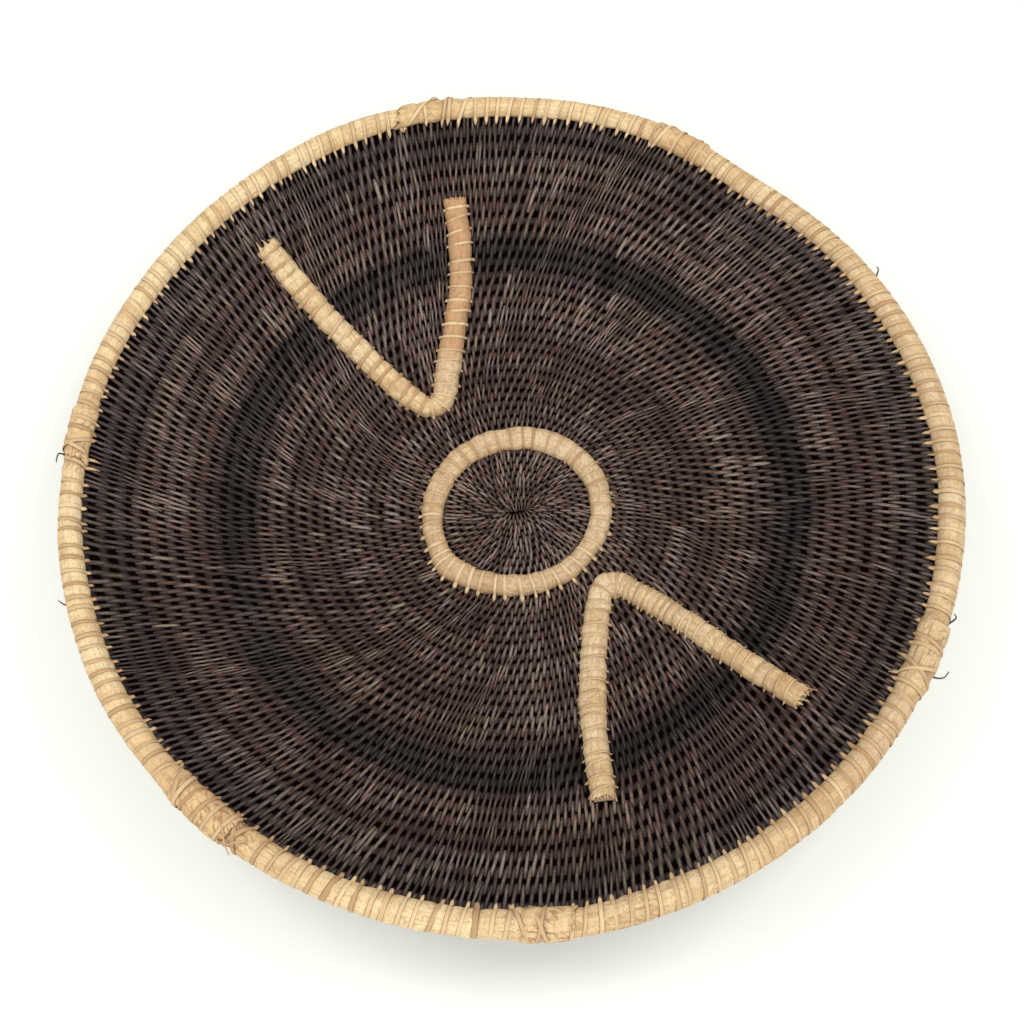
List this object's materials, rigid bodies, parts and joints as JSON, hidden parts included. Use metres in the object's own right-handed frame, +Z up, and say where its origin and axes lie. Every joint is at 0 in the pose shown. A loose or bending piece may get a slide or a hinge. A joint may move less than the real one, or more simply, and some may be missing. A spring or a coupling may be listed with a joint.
{
  "type": "coiled basket tray",
  "caption": "Round shallow basket coiled and sewn from dark root strand, with a rim roll bound in pale bark and a ring and V shapes laid inside.",
  "frame": {"origin": "middle of the flat underside, which stands on the floor", "axes": "+Z up out of the bowl, +Y from the middle towards the side that lies at the top of the picture, +X to the picture's right"},
  "size_m": [0.379, 0.38, 0.0585],
  "materials": {
    "brown_strand": "sewn root strand, dark brown with paler strands, dry sheen",
    "dyed_strand": "sewn root strand dyed black, dry sheen",
    "pale_bark": "thin pale bark strip, fine lengthwise grain, satin",
    "core_cane": "raw cane and fibre bundle, matt"
  },
  "bodies": {
    "root": {"coil_start": "brown_strand", "coil_inner": "brown_strand", "coil_dyed_band": "dyed_strand", "coil_outer": "brown_strand", "coil_dyed_edge": "dyed_strand", "rim_core": "core_cane", "rim_strip_1": "pale_bark", "rim_strip_2": "pale_bark", "rim_strip_3": "pale_bark", "rim_strip_4": "pale_bark", "rim_strip_5": "pale_bark", "rim_strip_6": "pale_bark", "ring_strip": "pale_bark", "ring_core": "core_cane", "upper_v_strip": "pale_bark", "upper_v_core": "core_cane", "lower_v_strip": "pale_bark", "lower_v_core": "core_cane"}
  },
  "joints": []
}
